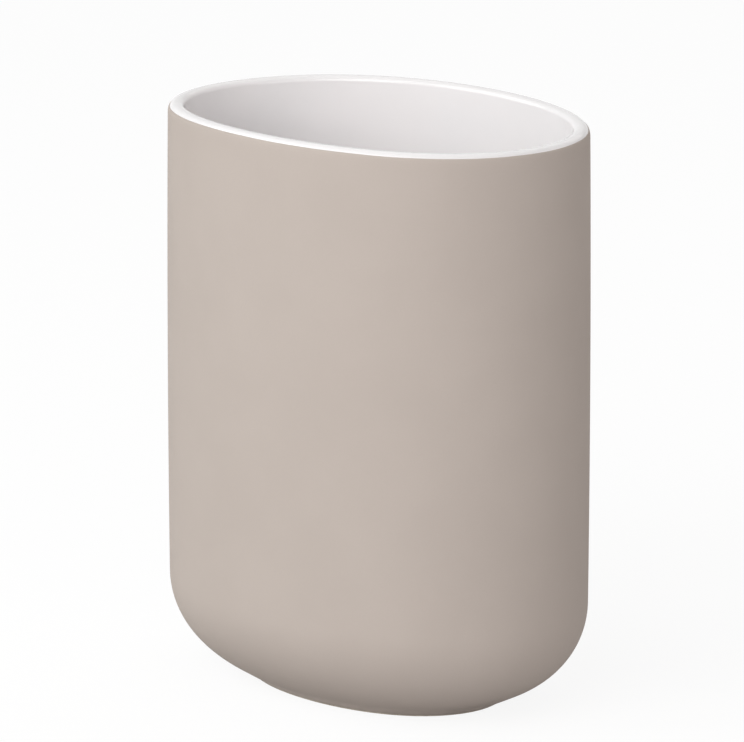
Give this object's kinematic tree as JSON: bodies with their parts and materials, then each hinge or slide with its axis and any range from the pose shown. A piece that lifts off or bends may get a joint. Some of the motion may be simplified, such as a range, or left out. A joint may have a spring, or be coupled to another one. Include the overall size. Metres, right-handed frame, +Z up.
{
  "type": "toothbrush holder",
  "caption": "Upright oval stoneware cup for toothbrushes, white glazed inside and over the rim, with a matt soft-touch coating outside and a low foot ring.",
  "frame": {"origin": "centre of the foot ring's bottom, on the surface that the cup stands on", "axes": "+Z up towards the open rim, +X along the oval's long way, +Y along its short way"},
  "size_m": [0.09, 0.065, 0.11],
  "materials": {
    "stoneware": "matte",
    "white_glaze": "gloss",
    "soft_touch": "matte"
  },
  "bodies": {
    "root": {"stoneware_body": "stoneware", "inner_glaze": "white_glaze", "soft_touch_coating": "soft_touch", "base_glaze": "white_glaze"}
  },
  "joints": []
}
